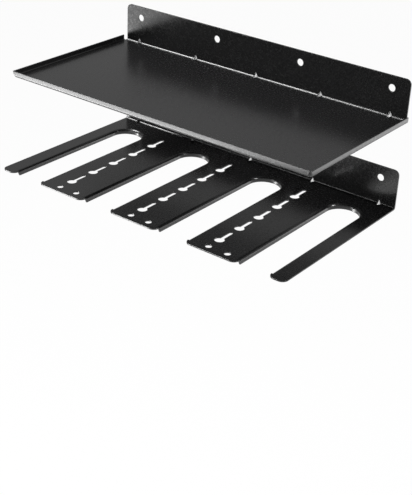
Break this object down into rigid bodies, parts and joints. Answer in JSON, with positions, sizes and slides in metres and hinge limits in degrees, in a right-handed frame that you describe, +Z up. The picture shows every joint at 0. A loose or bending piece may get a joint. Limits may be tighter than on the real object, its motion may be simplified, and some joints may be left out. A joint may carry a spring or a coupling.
{
  "type": "wall mounted power tool organizer",
  "caption": "Black steel wall rack for power tools: a rimmed tray above a slotted shelf that drills hang in, each screwed to the wall by its own plate.",
  "frame": {"origin": "on the wall plane, mid-width, on the line of the upper shelf's screw holes", "axes": "+X to the right along the wall, +Y into the wall, +Z up; the rack stands out from the wall along -Y"},
  "size_m": [0.43, 0.235, 0.167],
  "materials": {
    "powder_coated_steel": "satin black powder coat"
  },
  "bodies": {
    "root": {"upper_shelf": "powder_coated_steel", "lower_shelf": "powder_coated_steel"}
  },
  "joints": []
}
